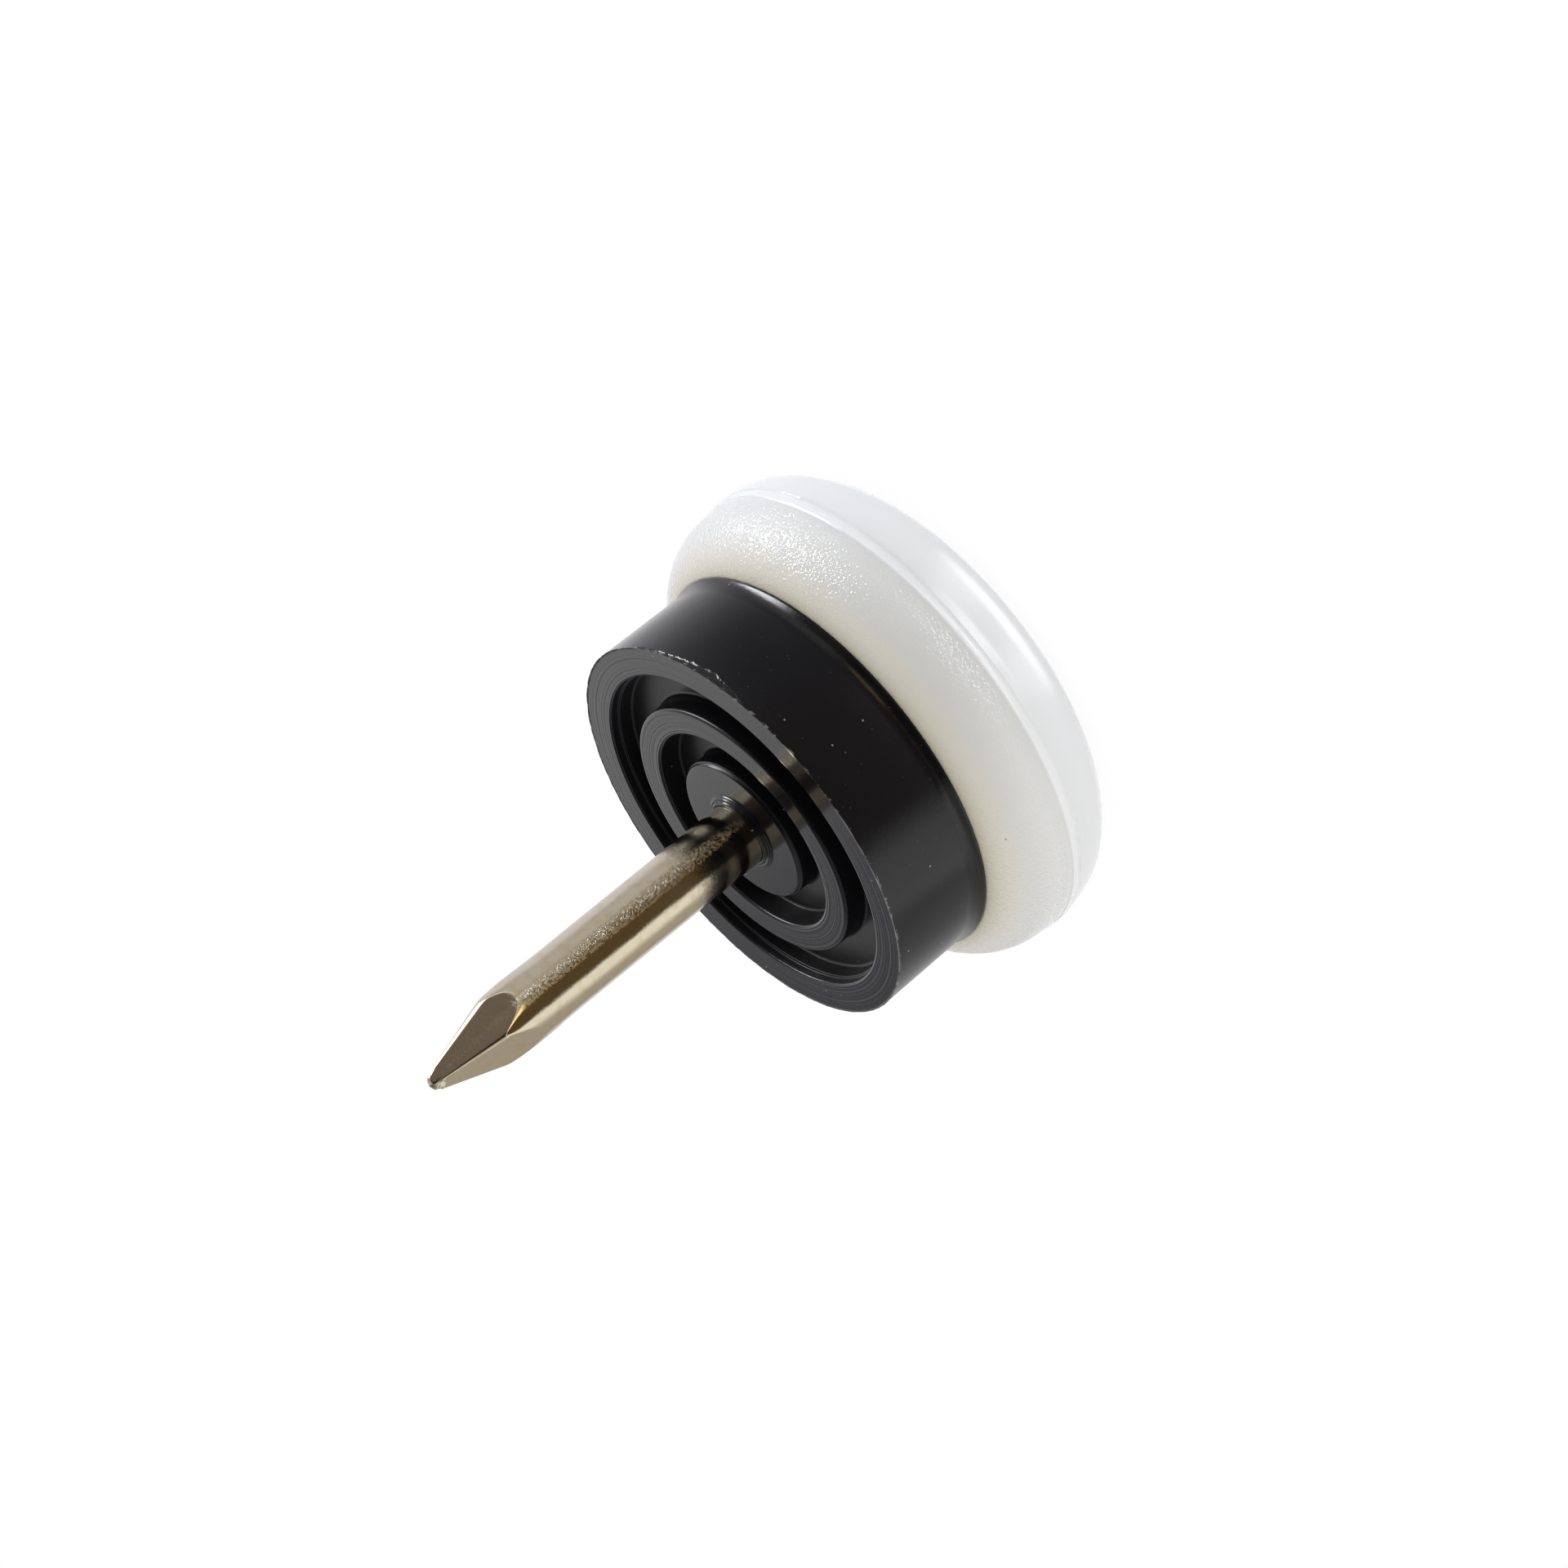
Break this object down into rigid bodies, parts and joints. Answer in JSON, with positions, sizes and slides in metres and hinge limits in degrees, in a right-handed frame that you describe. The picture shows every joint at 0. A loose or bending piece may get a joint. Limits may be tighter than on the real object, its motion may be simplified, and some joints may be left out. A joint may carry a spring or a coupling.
{
  "type": "nail-on furniture glide",
  "caption": "Nail-on furniture glide: a pointed wire nail stands up from a ringed black cushioning insert, which is seated in a rounded white plastic base that slides on the floor.",
  "frame": {"origin": "centre of the base's flat underside, on the floor", "axes": "+Z along the nail from the floor up to its point, X and Y square to the flats of the point"},
  "size_m": [0.024, 0.024, 0.0317],
  "materials": {
    "nickel_plated_steel": "polished",
    "black_plastic": "satin",
    "white_polyethylene": "satin"
  },
  "bodies": {
    "root": {"nail": "nickel_plated_steel", "cushion_insert": "black_plastic", "glide_base": "white_polyethylene"}
  },
  "joints": []
}
